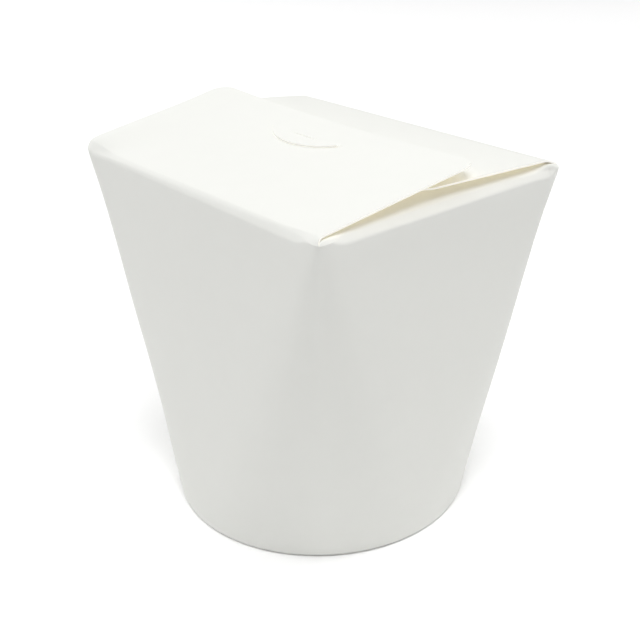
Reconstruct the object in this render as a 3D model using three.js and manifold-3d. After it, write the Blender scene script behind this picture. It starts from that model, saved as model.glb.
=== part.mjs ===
// Noodle takeaway box: a folded paperboard carton with a round foot and a rectangular rim, shut by two
// broad interlocked flaps over two dust flaps. Millimetres, +Z up, origin at the middle of the foot ring,
// X along the broad panels that carry the two closing flaps.
import * as THREE from "three";
import { mergeVertices } from "three/addons/utils/BufferGeometryUtils.js";
import Module from "manifold-3d";

const wasm = await Module();
wasm.setup();

// Body
const rimWidth = 105;
const rimDepth = 82;
const rimHeight = 103; // foot to the upper part of the scored band round the rim
const footDiameter = 88;
const board = 0.5; // coated paperboard
const cornerRadius = 1.3; // of the folded corners at the rim
const wallBow = 0.75; // how far the panels pull in at half height
const bandBottom = 101; // the twice-scored band between a panel and its flap
const bandTop = 103.7;
const bandLean = 0.9; // how far that band leans inwards

// Foot and base
const hemThickness = 1.8; // the wall turned up round the base's skirt
const hemRound = 0.4;
const baseRecess = 6.5;
const fitGap = 0.3; // between the two pieces

// Glued side seam, on the narrow left panel beside the rear corner
const seamLap = 10;

// Both closing flaps
const flapOverhang = 0.4; // at each end of their folds
const flapCorner = 5.5;

// Outer closing flap, hinged along the front rim
const outerTilt = THREE.MathUtils.degToRad(8.6);
const outerLength = 49.6;
const outerFlare = 0.8; // how much further out its sides stand at the free end
const outerSag = 1.1; // dip in the middle of the free edge
const outerRise = 0.3; // of its fold above the under flap's

// Under flap, hinged along the back rim. Its left side bends up against the outer flap, and its right
// side stands off from it.
const underLength = 49.5;
const underCrest = 40; // distance from the fold to the top of the bend on the left
const underRiseLeft = 4.2;
const underTiltRight = THREE.MathUtils.degToRad(3.1);

// Its tongue, pushed up through a slit in the outer flap and lying on top of it
const tongueCentre = 2;
const tongueWidth = 28;
const tongueReach = 5.6; // from the slit to the tip
const slitDistance = 38; // from the outer flap's fold

// Dust flaps: the side gaps below the closing flaps are as deep as they can be looked into
const dustFlapDrop = THREE.MathUtils.degToRad(8);
const sideGapDepth = 12;

// Fineness
const arcSteps = 12;
const wallLevels = 14;
const flapColumns = 12;
const fillColumns = 7;
const straightRows = 4;
const cornerRows = 5;
const lapSteps = 3;

const footRadius = footDiameter / 2;
const footInner = footRadius - hemThickness;
const foldX = rimWidth / 2 - bandLean / 2;
const foldY = rimDepth / 2 - bandLean / 2;
const flapHalfWidth = rimWidth / 2 + flapOverhang;
const { lerp } = THREE.MathUtils;

// A closed mesh as a manifold-3d solid. Repeated vertices are merged and the triangles that this
// leaves without area are dropped.
function solidFrom(geometry) {
  const bare = new THREE.BufferGeometry().setAttribute("position", geometry.getAttribute("position"));
  bare.setIndex(geometry.index);
  const merged = mergeVertices(bare, 1e-4);
  const corners = merged.index.array;
  const triangles = [];
  for (let i = 0; i < corners.length; i += 3) {
    const [a, b, c] = corners.slice(i, i + 3);
    if (a !== b && b !== c && c !== a) triangles.push(a, b, c);
  }
  return new wasm.Manifold(
    new wasm.Mesh({
      numProp: 3,
      vertProperties: merged.getAttribute("position").array,
      triVerts: new Uint32Array(triangles),
    }),
  );
}

function geometryFrom(solid) {
  const { vertProperties, triVerts } = solid.getMesh();
  const geometry = new THREE.BufferGeometry();
  geometry.setAttribute("position", new THREE.BufferAttribute(vertProperties, 3));
  geometry.setIndex(new THREE.BufferAttribute(triVerts, 1));
  const flat = geometry.toNonIndexed();
  flat.computeVertexNormals();
  return flat;
}

// A solid through closed sections of equal point counts, counter-clockwise seen from above and
// listed from the lowest up, with a fan over each end.
function loft(sections) {
  const count = sections[0].length;
  const middle = (ring) => ring.reduce((sum, p) => sum.add(p), new THREE.Vector3()).divideScalar(count);
  const points = [...sections.flat(), middle(sections[0]), middle(sections.at(-1))];
  const lowPole = points.length - 2;
  const highPole = points.length - 1;
  const lastRing = (sections.length - 1) * count;
  const index = [];
  for (let i = 0; i < count; i++) {
    const next = (i + 1) % count;
    for (let ring = 0; ring < lastRing; ring += count) {
      const [a, b, c, d] = [ring + i, ring + next, ring + count + next, ring + count + i];
      index.push(a, b, c, a, c, d);
    }
    index.push(lowPole, next, i, highPole, lastRing + i, lastRing + next);
  }
  const geometry = new THREE.BufferGeometry().setFromPoints(points);
  geometry.setIndex(index);
  return solidFrom(geometry);
}

// A slab between an upper and a lower surface, each a list of rows of points. A row runs along +X and
// the rows follow each other along +Y.
function slab(upper, lower) {
  const rows = upper.length;
  const columns = upper[0].length;
  const under = rows * columns;
  const rim = [];
  for (let c = 0; c < columns - 1; c++) rim.push(c);
  for (let r = 0; r < rows - 1; r++) rim.push(r * columns + columns - 1);
  for (let c = columns - 1; c > 0; c--) rim.push((rows - 1) * columns + c);
  for (let r = rows - 1; r > 0; r--) rim.push(r * columns);
  const index = [];
  for (let r = 0; r < rows - 1; r++) {
    for (let c = 0; c < columns - 1; c++) {
      const [a, b] = [r * columns + c, r * columns + c + 1];
      const [d, e] = [a + columns, b + columns];
      index.push(a, b, e, a, e, d, under + a, under + e, under + b, under + a, under + d, under + e);
    }
  }
  rim.forEach((a, i) => {
    const b = rim[(i + 1) % rim.length];
    index.push(a, under + a, under + b, a, under + b, b);
  });
  const geometry = new THREE.BufferGeometry().setFromPoints([...upper.flat(), ...lower.flat()]);
  geometry.setIndex(index);
  return solidFrom(geometry);
}

function arcPoints(centreX, centreY, radius, fromTurn, toTurn, z) {
  const steps = Math.round(4 * arcSteps * (toTurn - fromTurn));
  return [...Array(steps + 1).keys()].map((step) => {
    const angle = lerp(fromTurn, toTurn, step / steps) * 2 * Math.PI;
    return new THREE.Vector3(centreX + radius * Math.cos(angle), centreY + radius * Math.sin(angle), z);
  });
}

// The stretch from the rear left corner's crease to the front end of the left panel, with the lap of
// the glued seam: nothing at the crease, and one board thick at its edge.
function lapPoints(cornerX, cornerY, radius, z, lapThickness) {
  const stretch = new THREE.Path();
  stretch.absarc(cornerX, cornerY, radius, 0.75 * Math.PI, Math.PI);
  stretch.lineTo(cornerX - radius, -cornerY);
  const length = stretch.getLength();
  const point = (distance, thickness) => {
    const { x, y } = stretch.getPoint(distance / length);
    const outward = new THREE.Vector3(x - cornerX, Math.max(0, y - cornerY), 0).normalize();
    return new THREE.Vector3(x, y, z).addScaledVector(outward, thickness);
  };
  const onLap = (step) => point((step / lapSteps) * seamLap, (step / lapSteps) * lapThickness);
  const beyond = (step) => point(lerp(seamLap, length, step / arcSteps), 0);
  return [
    ...[...Array(lapSteps).keys()].map((step) => onLap(step + 1)),
    ...[...Array(arcSteps).keys()].map(beyond),
  ];
}

// A rectangle with round corners, counter-clockwise from +X.
function outline(halfX, halfY, radius, z, lapThickness = 0) {
  const [x, y] = [halfX - radius, halfY - radius];
  return [
    ...arcPoints(x, y, radius, 0, 0.25, z),
    ...arcPoints(-x, y, radius, 0.25, 0.375, z),
    ...lapPoints(-x, y, radius, z, lapThickness),
    ...arcPoints(-x, -y, radius, 0.5, 0.75, z),
    ...arcPoints(x, -y, radius, 0.75, 1, z),
  ];
}

// The body turns from a circle into a rectangle: flat triangles stand on the rim's four sides, and
// quarter cones fan out between them from the rim's corners.
function wallSection(z) {
  const t = z / rimHeight;
  const bow = 4 * wallBow * t * (1 - t);
  const radius = lerp(footRadius, cornerRadius, t);
  const halfX = lerp(footRadius, rimWidth / 2, t) - bow;
  const halfY = lerp(footRadius, rimDepth / 2, t) - bow;
  return outline(halfX, halfY, radius, z, board);
}

function bodySolid() {
  const bottom = footRadius - hemRound;
  const sections = [outline(bottom, bottom, bottom, 0)];
  for (let level = 0; level <= wallLevels; level++) {
    sections.push(wallSection(lerp(hemRound, bandBottom, level / wallLevels)));
  }
  sections.push(outline(foldX, foldY, cornerRadius, bandTop));
  return loft(sections);
}

// Distances from a flap's fold and half widths there, ending in rounded corners.
function flapRows(length, flare) {
  const rows = [];
  const straight = length - flapCorner;
  for (let row = 0; row < straightRows; row++) {
    const share = row / straightRows;
    rows.push({ distance: share * straight, half: flapHalfWidth + flare * share });
  }
  for (let row = 0; row <= cornerRows; row++) {
    const angle = (row / cornerRows) * (Math.PI / 2);
    rows.push({
      distance: straight + flapCorner * Math.sin(angle),
      half: flapHalfWidth + flare - flapCorner * (1 - Math.cos(angle)),
    });
  }
  return rows;
}

// Upper surfaces of the two closing flaps, at x and a distance from the fold.
function outerTop(x, distance) {
  const across = x / flapHalfWidth;
  const along = distance / outerLength;
  const sag = outerSag * (1 - across * across) * along * along;
  return new THREE.Vector3(
    x,
    -foldY + distance * Math.cos(outerTilt),
    bandTop + outerRise + distance * Math.sin(outerTilt) - sag,
  );
}

function underTop(x, distance) {
  const left = underRiseLeft * Math.sin(((Math.PI / 2) * distance) / underCrest);
  const right = distance * Math.sin(underTiltRight);
  const rise = lerp(left, right, (1 + x / flapHalfWidth) / 2);
  return new THREE.Vector3(x, foldY - distance * Math.cos(underTiltRight), bandTop + rise);
}

const lowered = (rows, drop) => rows.map((row) => row.map((p) => p.clone().setZ(p.z - drop)));
const levelled = (rows, z) => rows.map((row) => row.map((p) => p.clone().setZ(z)));

// Rows of points on a flap's upper surface, in the order that slab() asks for.
function flapGrid(surface, rows, columns) {
  const grid = rows.map(({ distance, half, centre = 0 }) =>
    [...Array(columns + 1).keys()].map((column) =>
      surface(centre + lerp(-half, half, column / columns), distance),
    ),
  );
  return grid[0][0].y < grid.at(-1)[0].y ? grid : grid.reverse();
}

// A closing flap of board, and the filled inside of the shut box below it as far as fillTo from the
// fold. At the left and right the fill stops short, which leaves the gaps above the dust flaps.
function flapSolids(surface, rows, fillTo) {
  const top = flapGrid(surface, rows, flapColumns);
  const half = rimWidth / 2 - sideGapDepth;
  const fillRows = [0.02, 0.25, 0.5, 0.75, 1].map((share) => ({ distance: share * fillTo, half }));
  const fill = flapGrid(surface, fillRows, fillColumns);
  return [slab(top, lowered(top, board)), slab(lowered(fill, board / 2), levelled(fill, bandBottom))];
}

// The tongue's end lies on the outer flap, one board higher, and sinks to it at the slit.
function tongueSolid() {
  const half = tongueWidth / 2;
  const radius = (half * half + tongueReach * tongueReach) / (2 * tongueReach);
  const rows = [0.02, 0.1, 0.25, 0.5, 0.8, 1].map((share) => {
    const depth = share * tongueReach;
    return {
      distance: slitDistance - tongueReach + depth,
      half: Math.sqrt(depth * (2 * radius - depth)),
      centre: tongueCentre,
    };
  });
  const flap = flapGrid(outerTop, rows, flapColumns);
  const raised = flap.map((row, r) => {
    const lift = board * Math.min(1, (flap.length - 1 - r) / 2 + 0.1);
    return row.map((p) => p.clone().setZ(p.z + lift));
  });
  return slab(raised, lowered(flap, board / 2));
}

// What is taken away above a dust flap, which slopes down into the box from its crease.
function dustFlapCut(side) {
  const crease = foldX - cornerRadius;
  const depth = sideGapDepth;
  const wedge = new THREE.Shape([
    new THREE.Vector2(crease, bandTop),
    new THREE.Vector2(crease - depth, bandTop - depth * Math.tan(dustFlapDrop)),
    new THREE.Vector2(crease - depth, bandTop + board),
    new THREE.Vector2(crease, bandTop + board),
  ]);
  const width = 2 * (foldY - cornerRadius);
  const cut = new THREE.ExtrudeGeometry(wedge, { depth: width, bevelEnabled: false });
  cut.rotateX(Math.PI / 2).translate(0, width / 2, 0);
  if (side < 0) cut.rotateZ(Math.PI);
  return solidFrom(cut);
}

function recessSolid() {
  const depth = baseRecess + board + fitGap;
  const bore = new THREE.CylinderGeometry(footInner, footInner, 2 * depth, 4 * arcSteps);
  return solidFrom(bore.rotateX(Math.PI / 2));
}

function cartonSolid() {
  const closing = [
    ...flapSolids(outerTop, flapRows(outerLength, outerFlare), slitDistance),
    ...flapSolids(underTop, flapRows(underLength, 0), underLength - 2 * board),
  ];
  return [...closing, tongueSolid()].reduce(
    (whole, piece) => whole.add(piece),
    bodySolid().subtract(dustFlapCut(1)).subtract(dustFlapCut(-1)).subtract(recessSolid()),
  );
}

// The base: a disc whose edge turns down into the hem.
function baseDiscGeometry() {
  const edge = footInner - fitGap;
  const profile = [
    [0, 0],
    [edge - 2 * board, 0],
    [edge - board, -board / 2],
    [edge, -board / 2],
    [edge, board / 2],
    [edge - board, board],
    [0, board],
  ].map(([x, y]) => new THREE.Vector2(x, y));
  return new THREE.LatheGeometry(profile, 4 * arcSteps);
}

function paperboard(colour, roughness) {
  return new THREE.MeshStandardMaterial({ color: colour, roughness, metalness: 0 });
}

const carton = new THREE.Mesh(geometryFrom(cartonSolid()), paperboard(0xf4f4f0, 0.5));
carton.name = "carton";

const baseDisc = new THREE.Mesh(baseDiscGeometry(), paperboard(0xf1f0ea, 0.55));
baseDisc.name = "base_disc";
baseDisc.rotation.x = Math.PI / 2;
baseDisc.position.z = baseRecess;

const noodleBox = new THREE.Group();
noodleBox.name = "noodle_box";
noodleBox.add(carton, baseDisc);

export default noodleBox;
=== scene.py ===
from math import asin, cos, exp, inf, pi, radians, sin, sqrt

import bmesh
import bpy
from mathutils import Matrix, Vector, noise


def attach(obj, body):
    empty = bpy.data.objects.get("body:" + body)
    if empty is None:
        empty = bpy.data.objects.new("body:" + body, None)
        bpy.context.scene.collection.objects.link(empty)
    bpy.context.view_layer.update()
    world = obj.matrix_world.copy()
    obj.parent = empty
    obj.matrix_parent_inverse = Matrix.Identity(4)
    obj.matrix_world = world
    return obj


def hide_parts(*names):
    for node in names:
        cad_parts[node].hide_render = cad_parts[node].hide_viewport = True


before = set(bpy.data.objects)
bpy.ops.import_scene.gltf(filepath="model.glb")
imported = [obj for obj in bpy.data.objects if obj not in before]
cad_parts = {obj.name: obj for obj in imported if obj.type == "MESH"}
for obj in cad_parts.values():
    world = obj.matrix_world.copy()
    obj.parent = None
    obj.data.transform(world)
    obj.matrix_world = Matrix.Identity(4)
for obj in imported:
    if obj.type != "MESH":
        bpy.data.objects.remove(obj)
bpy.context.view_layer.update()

mm = 0.001


def lerp(a, b, t):
    return a + (b - a) * t


def ease(t):  # smooth step from 0 to 1
    t = min(1.0, max(0.0, t))
    return t * t * (3 - 2 * t)


def bump(t):  # 1 at 0, falling smoothly to 0 at 1 and -1
    return 1 - ease(abs(t))


def towards(azimuth, elevation):  # azimuth 0 is out of the front, and a quarter turn out of the right side
    return Vector((sin(azimuth) * cos(elevation), -cos(azimuth) * cos(elevation), sin(elevation)))


camera = dict(
    azimuth=radians(51.066),
    elevation=radians(25.530),
    roll=-0.0296474,
    place=(224.95, -180.68, 190.33),  # mm
    lens=60.73,
    sensor=36,
    nearest=0.01,  # metres, where its view begins
)


def makeCamera():
    azimuth, roll = camera["azimuth"], camera["roll"]
    back = towards(azimuth, camera["elevation"])
    level = Vector((cos(azimuth), sin(azimuth), 0))
    upright = back.cross(level)
    right = level * cos(roll) + upright * sin(roll)
    up = upright * cos(roll) - level * sin(roll)
    data = bpy.data.cameras.new("camera")
    data.lens = camera["lens"]
    data.sensor_width = camera["sensor"]
    data.clip_start = camera["nearest"]
    eye = bpy.data.objects.new("camera", data)
    turn = Matrix((right, up, back)).transposed().to_4x4()
    eye.matrix_world = Matrix.Translation(Vector(camera["place"]) * mm) @ turn
    bpy.context.scene.collection.objects.link(eye)
    bpy.context.scene.camera = eye


makeCamera()
print("camera: set")

grain = dict(  # shared by all the papers
    cloudScale=160,
    cloudDetail=5,
    roughSpread=0.05,  # the clouds make it rougher and smoother by this
    fibreScale=1400,
    fibreDetail=4,
    fibreRoughness=0.6,
    fibreHeight=0.03,  # mm
    paintedShadeFull=0.2,  # mm: below this height the painted shade is full,
    paintedShadeEnd=1.0,  # and above this one there is none
)

# mottle, fibre: how strong the cloudy tint and the fine relief are
# glow: painted light, an emission that stands in for the light that comes through the board, and a painted
# brightening of its cut edge
# the foot's painted shade: how much darker the foot's fold is painted, standing in for the contact shade
# where it meets what the box stands on
papers = dict(
    coatedWhite=dict(colour=(0.845, 0.849, 0.812), roughness=0.52, mottle=0.010, fibre=0.25, gloss=0.28,
                     paintedFootShade=0.25),
    plainInside=dict(colour=(0.880, 0.815, 0.660), roughness=0.62, mottle=0.018, fibre=0.45, gloss=0.2),
    # the cut edge's glow is painted light
    cutEdge=dict(colour=(0.940, 0.925, 0.870), roughness=0.75, mottle=0.02, fibre=0.5, gloss=0.2,
                 glow=(0.17, 0.17, 0.16)),
    # the flaps' inside glows with painted light, in place of the light that comes through the board
    flapInsidePaintedGlow=dict(colour=(0.870, 0.815, 0.680), roughness=0.62, mottle=0.018, fibre=0.45, gloss=0.2,
                    glow=(0.345, 0.315, 0.25)),
)


def newMaterial(name, colour, roughness, gloss=0.5, glow=(0, 0, 0), strength=1):
    m = bpy.data.materials.new(name)
    m.use_nodes = True
    shader = m.node_tree.nodes["Principled BSDF"]
    shader.inputs["Base Color"].default_value = (*colour, 1)
    shader.inputs["Roughness"].default_value = roughness
    shader.inputs["Specular IOR Level"].default_value = gloss
    shader.inputs["Emission Color"].default_value = (*glow, 1)
    shader.inputs["Emission Strength"].default_value = strength
    return m


def addNode(tree, kind, values=()):  # values: pairs of a socket and its value
    node = tree.nodes.new("ShaderNode" + kind)
    for socket, value in values:
        node.inputs[socket].default_value = value
    return node


def paper(name, colour, roughness, mottle, fibre, gloss, glow=(0, 0, 0), paintedFootShade=0.0):
    m = newMaterial(name, colour, roughness, gloss, glow)
    tree = m.node_tree
    shader = tree.nodes["Principled BSDF"]
    join = tree.links.new
    place = addNode(tree, "TexCoord")

    # a cloudy tint, and painted shade that darkens the foot's fold
    cloud = addNode(tree, "TexNoise", [("Scale", grain["cloudScale"]), ("Detail", grain["cloudDetail"])])
    join(place.outputs["Object"], cloud.inputs["Vector"])
    tint = addNode(tree, "MapRange", [("To Min", 1 - mottle), ("To Max", 1 + mottle)])
    join(cloud.outputs["Fac"], tint.inputs["Value"])
    height = addNode(tree, "SeparateXYZ")
    join(place.outputs["Object"], height.inputs["Vector"])
    # painted contact shade: full below the lower height, gone above the upper one
    paintedFootShading = addNode(tree, "MapRange", [("From Min", grain["paintedShadeFull"] * mm),
                                         ("From Max", grain["paintedShadeEnd"] * mm), ("To Min", 1 - paintedFootShade)])
    join(height.outputs["Z"], paintedFootShading.inputs["Value"])
    shade = addNode(tree, "Math")
    shade.operation = "MULTIPLY"
    join(tint.outputs["Result"], shade.inputs[0])
    join(paintedFootShading.outputs["Result"], shade.inputs[1])
    shaded = addNode(tree, "VectorMath", [("Vector", colour)])
    shaded.operation = "SCALE"
    join(shade.outputs["Value"], shaded.inputs["Scale"])
    join(shaded.outputs["Vector"], shader.inputs["Base Color"])

    # the same clouds in the sheen
    sheen = addNode(tree, "MapRange", [("To Min", roughness - grain["roughSpread"]),
                                       ("To Max", roughness + grain["roughSpread"])])
    join(cloud.outputs["Fac"], sheen.inputs["Value"])
    join(sheen.outputs["Result"], shader.inputs["Roughness"])

    # fine fibres
    fine = addNode(tree, "TexNoise", [("Scale", grain["fibreScale"]), ("Detail", grain["fibreDetail"]),
                                      ("Roughness", grain["fibreRoughness"])])
    join(place.outputs["Object"], fine.inputs["Vector"])
    relief = addNode(tree, "Bump", [("Strength", fibre), ("Distance", grain["fibreHeight"] * mm)])
    join(fine.outputs["Fac"], relief.inputs["Height"])
    join(relief.outputs["Normal"], shader.inputs["Normal"])
    return m


finishes = {name: paper(name, **values) for name, values in papers.items()}
print("papers: %s" % ", ".join(finishes))


def faceOutward(bm, place, outward):
    # makes all faces agree, and the one nearest to a place look outward
    bmesh.ops.recalc_face_normals(bm, faces=bm.faces)
    nearest = min(bm.faces, key=lambda f: (f.calc_center_median() - place).length)
    if nearest.normal.dot(outward) < 0:
        bmesh.ops.reverse_faces(bm, faces=bm.faces)


def finishMesh(name, bm, thickness, outside, inside, edge, *others, sharp=radians(38)):
    # turns a sheet in millimetres into a piece of board, with a finish for each face and for its cut edge
    bmesh.ops.scale(bm, vec=(mm, mm, mm), verts=bm.verts)
    for f in bm.faces:
        f.smooth = True
    mesh = bpy.data.meshes.new(name)
    bm.to_mesh(mesh)
    bm.free()
    piece = bpy.data.objects.new(name, mesh)
    bpy.context.scene.collection.objects.link(piece)
    for finish in (outside, inside, edge, *others):
        mesh.materials.append(finishes[finish])
    wall = piece.modifiers.new("thickness", "SOLIDIFY")
    wall.thickness = thickness * mm
    wall.offset = -1
    wall.use_rim = True
    wall.material_offset = 1  # to the inside's finish
    wall.material_offset_rim = 2  # and to the edge's
    bpy.context.view_layer.update()
    made = bpy.data.meshes.new_from_object(piece.evaluated_get(bpy.context.evaluated_depsgraph_get()))
    piece.modifiers.clear()
    piece.data = made
    made.name = name
    made.set_sharp_from_angle(angle=sharp)
    return piece


box = dict(  # mm, as in every dictionary of the board
    rimWidth=105,
    rimDepth=82,
    rimHeight=103,
    footDiameter=88,
    board=0.45,
    cornerRadius=0.9,  # at the rim
    wallBow=0.75,  # the walls curve in by this, halfway up
    blend=0.8,  # how softly the round corners pass into the flat walls
    blendSteps=(-0.75, -0.25, 0.25, 0.75),  # for that, corners from tighter to wider are averaged
    wide=96,  # columns of the broad panels
    narrow=76,  # and of the narrow ones
    crowding=0.88,  # how closely columns crowd towards the corner creases
)

sides = {  # along the panel, clockwise seen from above, and outward
    "back": (Vector((1, 0, 0)), Vector((0, 1, 0))),
    "right": (Vector((0, -1, 0)), Vector((1, 0, 0))),
    "front": (Vector((-1, 0, 0)), Vector((0, -1, 0))),
    "left": (Vector((0, 1, 0)), Vector((-1, 0, 0))),
}


def sectionAt(z):  # half width, half depth and corner radius
    t = z / box["rimHeight"]
    footRadius = box["footDiameter"] / 2
    bow = 4 * box["wallBow"] * t * (1 - t)
    return (
        lerp(footRadius, box["rimWidth"] / 2, t) - bow,
        lerp(footRadius, box["rimDepth"] / 2, t) - bow,
        lerp(footRadius, box["cornerRadius"], t),
    )


def panelLength(side, z):
    halfX, halfY, radius = sectionAt(z)
    half = halfX if sides[side][0].x else halfY
    return 2 * (radius * pi / 4 + half - radius)


def panelPoint(side, share, z, lift=0.0):
    # a point of the board's outer face, at a share of the way between two corner creases
    along, outward = sides[side]
    halfX, halfY, middle = sectionAt(z)
    half, stand = (halfX, halfY) if along.x else (halfY, halfX)
    spread = box["blend"] * (1 - middle / min(half, stand))
    steps = box["blendSteps"]
    x = y = 0.0
    for step in steps:
        radius = middle * (1 + step * spread)
        arc = radius * pi / 4
        distance = min(share, 1 - share) * 2 * (arc + half - radius)
        turn = pi / 4 - distance / radius if distance < arc else 0.0
        x += (half - radius + (radius + lift) * sin(turn) - max(0.0, distance - arc)) / len(steps)
        y += (stand - radius + (radius + lift) * cos(turn)) / len(steps)
    point = along * (x if share > 0.5 else -x) + outward * y
    point.z = z
    return point


seam = dict(  # the glued lap on the left panel, beside the rear corner
    lap=10,
    step=0.5,  # the lap's outer layer stands off the inner one by this
    clear=0.04,  # and by this much more at the corner
    hemFade=10,  # the hem's step fades over this distance on the back panel,
    footFade=4,  # and the foot fold's over this one on the left panel
    columns=(1, 0.86, 0.72, 0.58, 0.45, 0.34, 0.24, 0.16, 0.1, 0.06, 0.03),  # shares of the lap
)


def crowded(u):  # column shares crowd towards 0 and 1
    return u - box["crowding"] * sin(2 * pi * u) / (2 * pi)


def columnCount(side):
    return box["wide"] if side in ("back", "front") else box["narrow"]


def makeColumns():
    # the board's strip starts at the lap's edge and ends at the rear left crease:
    # each column has its panel and its share along it, or on the lap its share of the lap
    strip = [("lap", share) for share in seam["columns"]]
    for side in sides:
        count = columnCount(side)
        strip += [(side, c / count) for c in range(0 if side == "back" else 1, count + 1)]
    return strip


columns = makeColumns()


def firstColumn(side):
    return columns.index((side, 1.0)) - columnCount(side)


def panelAt(column, z):  # the panel below a column, and the share along it
    side, value = columns[column]
    if side == "lap":
        return "left", 1 - value * seam["lap"] / panelLength("left", z)
    return side, crowded(value)


def columnPoint(column, z, lift=0.0):
    return panelPoint(*panelAt(column, z), z, lift)


def layerLift(column, z):
    # how far the wall stands proud of a single layer, the hem stands further in and the foot fold higher
    side, value = columns[column]
    if side == "lap":
        return seam["step"] * value, seam["step"], 0.0
    length = panelLength(side, z)
    if side == "back":
        return 0.0, seam["step"] * (1 - ease(crowded(value) * length / seam["hemFade"])), 0.0
    if side == "left":
        left = (1 - crowded(value)) * length
        inner = -(seam["step"] + seam["clear"]) * max(0.0, 1 - left / seam["lap"])
        return inner, 0.0, seam["step"] * (1 - ease((left - seam["lap"]) / seam["footFade"]))
    return 0.0, 0.0, 0.0


foot = dict(
    fold=0.85,  # radius of both bends of the turned-in edge
    bendSteps=5,
    depth=1.8,  # wall to hem, outside
    hemRows=(6.0, 5.4, 4.4, 3.2, 2.1, 1.3, 0.9),  # heights, from its edge down
    crimp=0.10,  # a pressed line round the wall
    crimpHeight=7.4,
    crimpWidth=1.1,
)


def footRows():
    # rows of the turned-in edge, from hem to wall: a height on the hem, and an angle in a bend
    angles = [step / foot["bendSteps"] * pi / 2 for step in range(foot["bendSteps"] + 1)]
    rows = [("hem", z) for z in foot["hemRows"]]
    rows += [("inBend", angle) for angle in angles]
    rows += [("outBend", angle) for angle in angles]
    return rows


def footPoint(column, row):
    kind, value = row
    wallLift, hemLift, raised = layerLift(column, 0.0)
    fold = foot["fold"]
    hem = foot["depth"] + hemLift
    if kind == "hem":
        inset, z = hem, value
    elif kind == "inBend":
        inset, z = hem - fold + fold * cos(value), fold - fold * sin(value)
    else:
        inset, z = fold - wallLift - fold * sin(value), fold - fold * cos(value)
    point = columnPoint(column, 0.0, -inset)
    point.z = z + raised
    return point


warp = dict(  # the wall's faint unevenness
    height=0.38,
    size=34,
    seed=Vector((3.1, 7.7, 1.9)),
    footFade=14,  # it grows from the foot over this height
    top=100.6,  # and ends at this one,
    topFade=12,  # fading over this much below it
)


def wallWarp(point, z):
    calm = ease(z / warp["footFade"]) * ease((warp["top"] - z) / warp["topFade"])
    return warp["height"] * noise.noise(point / warp["size"] + warp["seed"]) * calm


crease = dict(  # the folded corners stand a little proud of the plain cone
    swell=dict(  # at a panel's first and last side
        front=(0.6, 0.65),
        left=(0.65, 0.6),
        back=(0.6, 1.2),
        right=(1.2, 0.6),
    ),
    width=10,
    foot=5,  # it grows between these two heights
    full=42,
    slack=0.4,  # and loses this share again between the next two
    slackFoot=55,
    slackTop=95,
)


def creaseSwell(side, share, z):
    length = panelLength(side, z)
    first, last = crease["swell"][side]
    slack = ease((z - crease["slackFoot"]) / (crease["slackTop"] - crease["slackFoot"]))
    rise = ease((z - crease["foot"]) / (crease["full"] - crease["foot"])) * (1 - crease["slack"] * slack)
    near = exp(-((share * length / crease["width"]) ** 2))
    far = exp(-(((1 - share) * length / crease["width"]) ** 2))
    return rise * (first * near + last * far)


band = dict(  # the strip below the rim, between two scores; pairs are for a panel's first and last side
    foot=dict(  # height of its lower score
        back=(100.6, 100.6),
        right=(100.5, 100.5),
        front=(100.7, 101.5),
        left=(100.8, 100.8),
    ),
    lean=dict(  # inward, per mm of height
        back=(0.4, 0.4),
        right=(0.75, 0.75),
        front=(0.62, 0.45),
        left=(0.62, 0.62),
    ),
    cornerReach=dict(  # the lower score runs up to the rim over this distance from a corner
        back=(3, 3),
        right=(3, 9),
        front=(9, 3),
        left=(3, 3),
    ),
    softness=0.4,  # the board bends along the score over this height, above and below it
    top=102.2,  # its flat face ends here and the bends into the flaps begin
)


def bandLean(side, share, z):  # how far a band leans in at a height
    first, last = band["cornerReach"][side]
    length = panelLength(side, z)
    near = ease(share * length / first) * ease((1 - share) * length / last)
    rise = z - lerp(box["rimHeight"], lerp(*band["foot"][side], share), near)
    soft = band["softness"]
    if rise < -soft:
        rise = 0.0
    elif rise < soft:
        rise = (rise + soft) ** 2 / (4 * soft)
    return lerp(*band["lean"][side], share) * rise


def wallPoint(column, z):
    panel, share = panelAt(column, z)
    crimp = foot["crimp"] * exp(-(((z - foot["crimpHeight"]) / foot["crimpWidth"]) ** 2))
    lift = layerLift(column, z)[0] - crimp + wallWarp(columnPoint(column, z), z)
    lift += creaseSwell(panel, share, z) - bandLean(panel, share, z)
    return columnPoint(column, z, lift)


wallRows = dict(  # heights
    foot=(0.9, 1.5, 2.4, 3.5, 4.7, 5.8, 6.6, 7.4, 8.2, 9.0, 10.4),
    even=(12.4, 98.2, 40),  # first, last and how many
    band=(99.2, 99.8, 100.1, 100.35, 100.6, 100.85, 101.1, 101.4, 101.8),
)


def wallHeights():
    first, last, count = wallRows["even"]
    even = [lerp(first, last, i / (count - 1)) for i in range(count)]
    return [*wallRows["foot"], *even, *wallRows["band"], band["top"]]


closing = dict(  # how the four flaps leave the rim
    lineX=52.05,  # flap lengths count from these lines
    lineY=40.55,
    fold=dict(  # what a bend curves round: how far out it lies, and how high
        front=(39.85, 102.8),
        back=(40.1, 103.9),
        right=(50.85, 102.8),
        left=(50.85, 102.8),
    ),
    cornerFold=(52.2, 40.85),  # the same at the corners, in half width and half depth,
    cornerZ=dict(  # and in height, at a panel's first and last side
        front=(103.1, 103.2),
        back=(103.4, 103.8),
        right=(104.1, 103.0),
        left=(103.2, 103.2),
    ),
    cornerReach=8,
    turn=dict(front=1.4, back=2.4, right=2.4, left=2.4),  # where a flap has left its bend
    turnRows=(0.14, 0.28, 0.42, 0.56, 0.7, 0.85, 1.0),  # shares of the bend
    gather=0.5,  # how far the bends close up towards the corner creases
    hole=0.03,  # the folds stand apart at the very corner,
    holeReach=1.3,  # over this distance along them
    holeSpan=0.4,  # and this share of the bend, before and after its middle
    evenFrom=16,  # the columns are evenly spread this far from the fold
)

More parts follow.
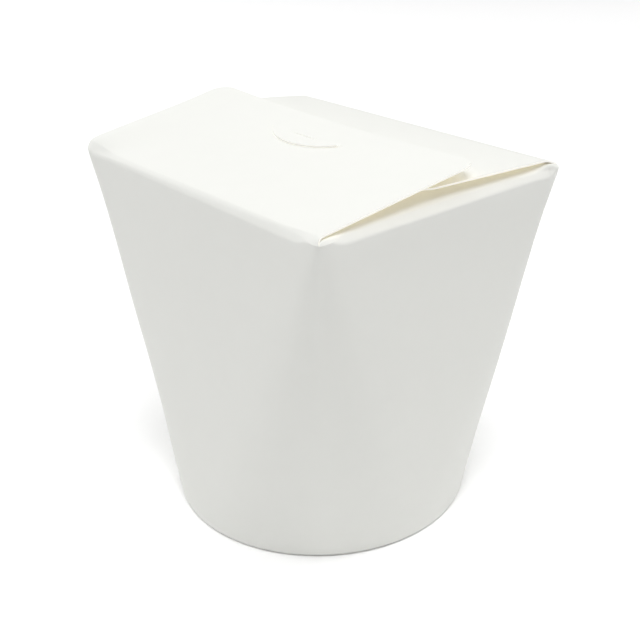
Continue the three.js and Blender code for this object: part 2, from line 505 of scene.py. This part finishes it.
outer = dict(  # the flap on top, hinged at the front
    fold=103.5,  # height
    length=50.6,
    half=(51.1, 53.2),  # from the middle to its first and last side
    flare=(1.2, -0.5),  # and how much wider than that it is where its round corners begin
    corner=5.5,
    cornerSteps=12,
    rows=(1.7, 2.3, 3, 4, 5.5, 7.5, 10, 13, 16, 19, 22, 25, 28, 31, 33.5, 35, 36.6, 37.6, 39.4, 41.6, 42.9),
    skew=0.025,  # its free edge is a little askew
    tilt=radians(9.2),
    sag=1.4,  # of its free edge
    sagCentre=6,
    cant=0.95,  # its right side hangs lower at the free edge, and its left side lies higher
    leftLift=1.1,  # its left side lies higher near the fold too
    leftReach=42,  # up to this distance from the fold,
    leftFrom=40,  # and from this far beside the middle
    leftBefore=1.5,  # it climbs there from this far before the fold's line,
    leftSlope=5,  # over this distance
    foldDip=0.7,  # the middle of the fold lies lower than its ends
    dipReach=30,
    dipEnd=16,
)

slit = dict(  # in the outer flap
    distance=38.4,
    hook=2.0,  # its ends turn this far towards the free edge
    rear=0.30,  # rise of the lip behind it
    front=0.30,  # and sinking of the board before it
    reach=6.5,
    hookParting=0.6,  # share of the rise that is left at its ends
)

under = dict(  # the flap below it, hinged at the back
    foldLeft=103.7,  # heights
    foldRight=103.9,
    length=49.8,
    half=(50.9, 51.4),
    flare=(0.0, 0.0),
    corner=5.5,
    cornerSteps=12,
    rows=(3, 4, 5.5, 7.5, 10, 13, 16, 19, 22, 25, 28, 31, 33.5, 35, 37.6, 39.2, 40.8, 42.4),
    crest=40,  # its left side arches up to here
    riseLeft=3.8,
    tiltRight=radians(3.1),
    liftRight=0.65,  # its right side starts with a step up,
    liftReach=4,  # over this distance
    pull=1.2,  # rise of its middle towards the slit
    pullCentre=Vector((2, 0)),
    pullReach=22,
)

tongue = dict(  # cut out of the under flap, through the slit and lying on the outer flap
    first=37,  # columns between its two side cuts
    last=61,
    centre=0.1,
    half=13.5,
    root=36.0,
    reach=5.7,
    tip=0.03,  # radians from the middle of its arc to its last row's end
    rowsBelow=4,  # rows still under the outer flap
    behind=0.3,  # the last of them ends this far behind the slit
    float=0.02,  # clearance over the board that it lies on
    sink=0.30,  # how far below the outer flap it passes where it comes up
)

dust = dict(  # the two short flaps at the sides, under both
    height=103.0,
    length=30,
    rows=(3, 3.8, 4.8, 6.2, 8, 10, 12.5, 15, 18, 21, 24, 27),
    rise=2.6,  # the board springs up inside, until it meets the flaps above
    riseReach=9,
    rearRise=0.5,
    frontRise=1.0,
    rearLift=0.6,  # its rear end lies higher
    rearReach=12,
    clear=0.14,  # to the flaps above
    taper=0.12,  # of each end, per mm of length
    taperFrom=1,
    frontGap=0.8,
    rearGap=0.6,
    endDrop=0.5,  # its front end lies lower, under the outer flap's fold
    endReach=3,
)


def outerTop(x, d):
    half = sum(outer["half"]) / 2
    across = (x - outer["sagCentre"]) / half
    along = d / outer["length"]
    sag = outer["sag"] * (1 - across * across) * along * along
    cant = outer["cant"] * x / half * along
    dip = outer["foldDip"] * (1 - ease(d / outer["dipReach"])) * ease((half - abs(x)) / outer["dipEnd"])
    lift = outer["leftLift"] * (1 - ease(d / outer["leftReach"]))
    lift *= ease((d + outer["leftBefore"]) / outer["leftSlope"])
    lift *= ease((-x - outer["leftFrom"]) / (half - outer["leftFrom"]))
    z = outer["fold"] + d * sin(outer["tilt"]) - sag - cant - dip + lift
    return Vector((x, d * cos(outer["tilt"]) - closing["lineY"], z))


def underTop(x, d):
    left = under["riseLeft"] * sin(pi / 2 * d / under["crest"])
    right = d * sin(under["tiltRight"]) + under["liftRight"] * ease(d / under["liftReach"])
    share = (1 + x / under["half"][0]) / 2
    y = closing["lineY"] - d * cos(under["tiltRight"])
    off = (Vector((x, y)) - under["pullCentre"]).length / under["pullReach"]
    z = lerp(under["foldLeft"], under["foldRight"], share) + lerp(left, right, share)
    return Vector((x, y, z + under["pull"] * bump(off)))


def flapHalves(flap, d):  # from the middle to both sides, round the corners at the free edge
    corner = flap["corner"]
    straight = flap["length"] - corner
    side = min(1.0, max(0.0, (d - straight) / corner))
    cut = corner * (1 - sqrt(1 - side * side))
    return [half + flare * min(1.0, d / straight) - cut for half, flare in zip(flap["half"], flap["flare"])]


def flapShare(u, d):  # columns spread out evenly away from the fold
    return lerp(crowded(u), u, ease(d / closing["evenFrom"]))


def dustPoint(kind, u, d):
    way = 1 if kind == "right" else -1
    half = closing["lineY"] - dust["taper"] * max(0.0, d - dust["taperFrom"])
    front, rear = half - dust["frontGap"], half - dust["rearGap"]
    share = flapShare(u, d)
    x = way * (closing["lineX"] - d)
    y = lerp(-front, rear, 1 - share if way > 0 else share)
    end = dust["rearRise"] if y > 0 else dust["frontRise"]
    rise = lerp(dust["rise"], end, ease(abs(y) / closing["lineY"])) * ease(d / dust["riseReach"])
    rise += dust["rearLift"] * ease((dust["rearReach"] - rear + y) / dust["rearReach"])
    rise -= dust["endDrop"] * ease((dust["endReach"] - front - y) / dust["endReach"])
    room = inf  # height that the flaps above leave
    if y < outer["length"] - closing["lineY"]:
        room = outerTop(x, y + closing["lineY"]).z
    if y > closing["lineY"] - under["length"]:
        room = min(room, underTop(x, closing["lineY"] - y).z)
    return Vector((x, y, min(dust["height"] + rise, room - (box["board"] + dust["clear"]))))


def flapPoint(kind, u, d):
    # u runs clockwise seen from above, as the panels' columns do, and d away from the fold's line
    if kind == "front":
        first, last = flapHalves(outer, d)
        x = lerp(first, -last, flapShare(u, d))
        return outerTop(x, d * (1 + outer["skew"] * x / first))
    if kind == "back":
        first, last = flapHalves(under, d)
        return underTop(lerp(-first, last, flapShare(u, d)), d)
    return dustPoint(kind, u, d)


def flapDistances(kind):  # a flap's rows, among them those that a cut runs along or starts at
    if kind in ("left", "right"):
        return [*dust["rows"], dust["length"]]
    flap = outer if kind == "front" else under
    cuts = [slit["distance"], slit["distance"] + slit["hook"]] if kind == "front" else [tongue["root"]]
    steps = flap["cornerSteps"]
    corner = [flap["length"] - flap["corner"] * (1 - sin(a / steps * pi / 2)) for a in range(steps + 1)]
    return sorted([*flap["rows"], *cuts]) + corner


def hingePoint(kind, u, share, start):
    # a quadratic curve out of the band round the flap's fold, whose ends keep to the corners
    end = flapPoint(kind, u, closing["turn"][kind])
    along, outward = sides[kind]
    out, z = closing["fold"][kind]
    x, y = closing["cornerFold"]
    half, proud = (x, y) if along.x else (y, x)
    side = -1 if u < 0.5 else 1
    inside = half - side * start.dot(along)
    near = 1 - ease(inside / closing["cornerReach"])
    gathered = lerp(end.dot(along), start.dot(along), closing["gather"] * near)
    corner = along * gathered + outward * lerp(out, proud, near)
    corner.z = lerp(z, closing["cornerZ"][kind][u > 0.5], near)
    point = start.lerp(corner, share).lerp(corner.lerp(end, share), share)
    apart = closing["hole"] * bump((share - 0.5) / closing["holeSpan"])
    apart *= 1 - ease(inside / closing["holeReach"])
    return point - along * side * apart


flapNumber = dict(front=1, back=2, right=3, left=4)  # in the sheet's part layer, which is 0 on the body


def gridLayers(bm):  # each vertex's place on the sheet
    return [bm.verts.layers.int[name] for name in ("column", "row", "part")]


def addRow(bm, edges, place):
    made = bmesh.ops.extrude_edge_only(bm, edges=edges)["geom"]
    fresh = {v for v in made if isinstance(v, bmesh.types.BMVert)}
    for v in fresh:
        v.co = place(v)
    return [e for e in made if isinstance(e, bmesh.types.BMEdge) and set(e.verts) <= fresh]


def makeBody(bm):
    # a strip that starts as the hem's two top rows and is extruded round the foot to the rim
    column = gridLayers(bm)[0]
    bmesh.ops.create_grid(bm, x_segments=len(columns) - 1, y_segments=1, size=1)
    rows = footRows()
    second = {v for v in bm.verts if v.co.y > 0}
    top = [e for e in bm.edges if set(e.verts) <= second]
    for v in bm.verts:
        v[column] = round((v.co.x + 1) / 2 * (len(columns) - 1))
        v.co = footPoint(v[column], rows[1 if v in second else 0])
    for each in rows[2:]:
        top = addRow(bm, top, lambda v: footPoint(v[column], each))
    for z in wallHeights():
        top = addRow(bm, top, lambda v: wallPoint(v[column], z))
    return top


def makeFlap(bm, side, rim):
    # a panel's part of the rim goes on by itself, round the bend and out to the flap's free edge
    column, row, part = gridLayers(bm)
    first = firstColumn(side)
    count = columnCount(side)
    edges = [e for e in rim if all(first <= v[column] <= first + count for v in e.verts)]
    begin = {v[column]: v.co.copy() for e in edges for v in e.verts}

    def share(v):
        return (v[column] - first) / count

    for turn in closing["turnRows"]:
        edges = addRow(bm, edges, lambda v: hingePoint(side, share(v), turn, begin[v[column]]))
    for number, d in enumerate(flapDistances(side), 1):
        edges = addRow(bm, edges, lambda v: flapPoint(side, share(v), d))
        for v in {v for e in edges for v in e.verts}:
            v[row] = number
            v[part] = flapNumber[side]


def flapVerts(bm, side):
    part = gridLayers(bm)[2]
    return [v for v in bm.verts if v[part] == flapNumber[side]]


def flapEdges(bm, side):
    part = gridLayers(bm)[2]
    return [e for e in bm.edges if all(v[part] == flapNumber[side] for v in e.verts)]


def middleOf(v, layer):  # where the faces round a vertex lie, which tells the two sides of a cut apart
    values = [w[layer] for f in v.link_faces for w in f.verts]
    return sum(values) / len(values)


def openSlit(bm):
    # cuts the outer flap along a row with hooked ends, and bends both lips apart
    column, row = gridLayers(bm)[:2]
    distances = [0.0] + flapDistances("front")
    cutRow = distances.index(slit["distance"])
    hookRow = distances.index(slit["distance"] + slit["hook"])
    first = firstColumn("front") + box["wide"] - tongue["last"]
    last = firstColumn("front") + box["wide"] - tongue["first"]
    cut = []
    for e in flapEdges(bm, "front"):
        a, b = e.verts
        if not all(first <= v[column] <= last and cutRow <= v[row] <= hookRow for v in e.verts):
            continue
        if a[row] == b[row] == cutRow or (a[column] == b[column] and a[column] in (first, last)):
            cut.append(e)
    bmesh.ops.split_edges(bm, edges=cut)
    middle, half = (first + last) / 2, (last - first) / 2
    for v in flapVerts(bm, "front"):
        across = (middleOf(v, column) - middle) / half
        away = (distances[v[row]] - slit["distance"]) / slit["reach"]
        if abs(across) >= 1 or abs(away) >= 1:
            continue
        ends = (v[column] - middle) / half
        parting = 1 - ends * ends
        if middleOf(v, row) > cutRow:
            hooked = 1 - ease((v[row] - cutRow) / (hookRow - cutRow))
            parting = max(parting, slit["hookParting"] * hooked)
            v.co.z += slit["rear"] * bump(away) * parting
        else:
            v.co.z -= slit["front"] * bump(away) * parting


def freeTongue(bm):
    # cuts the tongue's sides in the under flap and lays it through the slit onto the outer flap
    column, row = gridLayers(bm)[:2]
    distances = [0.0] + flapDistances("back")
    rootRow = distances.index(tongue["root"])
    first = firstColumn("back") + tongue["first"]
    last = firstColumn("back") + tongue["last"]
    cut = []
    for e in flapEdges(bm, "back"):
        a, b = e.verts
        if a[column] == b[column] and a[column] in (first, last) and min(a[row], b[row]) >= rootRow:
            cut.append(e)
    bmesh.ops.split_edges(bm, edges=cut)
    slitY = slit["distance"] * cos(outer["tilt"]) - closing["lineY"]
    rootY = underTop(0, tongue["root"]).y
    below = tongue["rowsBelow"]
    above = len(distances) - 1 - rootRow - below
    radius = (tongue["half"] ** 2 + tongue["reach"] ** 2) / (2 * tongue["reach"])
    wide = asin(tongue["half"] / radius)
    for v in flapVerts(bm, "back"):
        if v[row] <= rootRow or not first < middleOf(v, column) < last:
            continue
        step = v[row] - rootRow
        u = 2 * (v[column] - first) / (last - first) - 1
        if step <= below:
            half = tongue["half"]
            y = lerp(rootY, slitY + tongue["behind"], step / below)
        else:
            angle = lerp(wide, tongue["tip"], (step - below - 1) / (above - 1))
            half = radius * sin(angle)
            y = slitY - radius * (cos(angle) - cos(wide))
        x = tongue["centre"] + u * half
        y += outer["skew"] * x / outer["half"][0] * slit["distance"]
        d = (y + closing["lineY"]) / cos(outer["tilt"])
        plain = outerTop(x, d).z
        if step <= below:
            lowest = underTop(x, (closing["lineY"] - y) / cos(under["tiltRight"])).z
            z = lerp(lowest, plain - tongue["sink"], ease(step / below))
        else:
            away = (d - slit["distance"]) / slit["reach"]
            ends = (x - tongue["centre"]) / tongue["half"]
            sunk = slit["front"] * bump(away) * max(0.0, 1 - ends * ends)
            z = plain + box["board"] + tongue["float"] - sunk
        v.co = Vector((x, y, z))


def makeSheet():
    bm = bmesh.new()
    for name in ("column", "row", "part"):
        bm.verts.layers.int.new(name)
    rim = makeBody(bm)
    for side in sides:
        makeFlap(bm, side, rim)
    openSlit(bm)
    freeTongue(bm)
    frontWall = Vector((0, -box["rimDepth"] / 2, box["rimHeight"] / 2))
    faceOutward(bm, frontWall, sides["front"][1])
    return bm


def makeCarton():
    used = ["coatedWhite", "plainInside", "cutEdge", "flapInsidePaintedGlow"]
    piece = finishMesh("cartonBoard", makeSheet(), box["board"], *used)
    inside, paintedGlowIndex = used.index("plainInside"), used.index("flapInsidePaintedGlow")
    partOf = [v.value for v in piece.data.attributes["part"].data]
    broad = (flapNumber["front"], flapNumber["back"])
    for face in piece.data.polygons:  # the broad flaps' inside gets a painted glow, in place of the light that comes through them
        if face.material_index == inside and all(partOf[v] in broad for v in face.vertices):
            face.material_index = paintedGlowIndex
    return piece


cartonBoard = makeCarton()
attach(cartonBoard, "root")
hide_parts("carton")
print("board: %d faces" % len(cartonBoard.data.polygons))

base = dict(  # a shallow dish, its skirt inside the foot's hem
    height=6.5,
    crown=0.35,  # rise of its middle
    crownSteps=14,
    shoulder=0.8,  # radius of the bend into the skirt
    shoulderSteps=5,
    skirtRadius=43.28,
    skirtRows=(4.6, 3.4, 2.3, 1.35),  # heights, down to its edge
    board=0.45,
    steps=192,
    merge=1e-4,
)


def makeBase():
    bm = bmesh.new()
    profile = []
    flat = base["skirtRadius"] - base["shoulder"]
    for i in range(base["crownSteps"] + 1):
        t = i / base["crownSteps"]
        profile.append((t * flat, base["height"] + base["crown"] * (1 - t * t)))
    for i in range(1, base["shoulderSteps"] + 1):
        a = i / base["shoulderSteps"] * pi / 2
        profile.append((flat + base["shoulder"] * sin(a), base["height"] - base["shoulder"] * (1 - cos(a))))
    for z in base["skirtRows"]:
        profile.append((base["skirtRadius"], z))
    line = [bm.verts.new((r, 0, z)) for r, z in profile]
    edges = [bm.edges.new(pair) for pair in zip(line, line[1:])]
    bmesh.ops.spin(bm, geom=line + edges, cent=(0, 0, 0), axis=(0, 0, 1), angle=2 * pi,
                   steps=base["steps"], use_merge=True)
    bmesh.ops.remove_doubles(bm, verts=bm.verts, dist=base["merge"])
    up = Vector((0, 0, 1))
    faceOutward(bm, up * (base["height"] + base["crown"]), up)
    return finishMesh("baseBoard", bm, base["board"], "plainInside", "coatedWhite", "cutEdge")


baseBoard = makeBase()
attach(baseBoard, "root")
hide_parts("base_disc")
print("base: %d faces" % len(baseBoard.data.polygons))

studio = dict(  # metres
    floorSize=2.2,
    floorDrop=0.03 * mm,  # it lies this far below the foot
    floorColour=(0.99, 0.99, 0.99),
    floorRoughness=0.9,
    floorGlow=0.049,  # a sheet lit a little from below, so that the contact shade stays soft
    ambient=0.0,
    horizon=1.0,  # what the camera sees past the floor's edge
    softboxSide=0.8,
    softboxDistance=1.6,
    softboxAim=Vector((0, 0, 0.05)),
    softboxes=(  # azimuth and elevation in degrees, and power in watts
        (160, 24, 3.0),
        (196, 24, 1.2),
        (268, 24, 5.5),
        (304, 24, 6.3),
        (160, 40, 5.0),
        (232, 40, 3.7),
        (52, 56, 7.5),
        (40, 72, 8.3),
        (100, 72, 4.2),
    ),
)


def makeFloor():
    bpy.ops.mesh.primitive_plane_add(size=studio["floorSize"], location=(0, 0, -studio["floorDrop"]))
    floor = bpy.context.object
    floor.name = "floor"
    floorPaper = newMaterial("floorPaper", studio["floorColour"], studio["floorRoughness"],
                             glow=(1, 1, 1), strength=studio["floorGlow"])
    floor.data.materials.append(floorPaper)


def makeSoftbox(azimuth, elevation, power):
    data = bpy.data.lights.new("softbox", "AREA")
    data.shape = "SQUARE"
    data.size = studio["softboxSide"]
    data.energy = power
    lamp = bpy.data.objects.new("softbox", data)
    lamp.location = towards(radians(azimuth), radians(elevation)) * studio["softboxDistance"]
    lamp.rotation_mode = "QUATERNION"
    lamp.rotation_quaternion = (lamp.location - studio["softboxAim"]).to_track_quat("Z", "Y")
    lamp.visible_camera = False
    bpy.context.scene.collection.objects.link(lamp)


def makeWorld():
    world = bpy.data.worlds.new("studio")
    bpy.context.scene.world = world
    world.use_nodes = True
    tree = world.node_tree
    sky = tree.nodes["Background"]
    path = addNode(tree, "LightPath")
    level = addNode(tree, "MapRange", [("To Min", studio["ambient"]), ("To Max", studio["horizon"])])
    tree.links.new(path.outputs["Is Camera Ray"], level.inputs["Value"])
    tree.links.new(level.outputs["Result"], sky.inputs["Strength"])
    sky.inputs["Color"].default_value = (1, 1, 1, 1)


makeFloor()
for softbox in studio["softboxes"]:
    makeSoftbox(*softbox)
makeWorld()
bpy.context.scene.view_settings.view_transform = "Standard"
bpy.context.scene.view_settings.look = "None"
print("studio: lit by %d softboxes" % len(studio["softboxes"]))
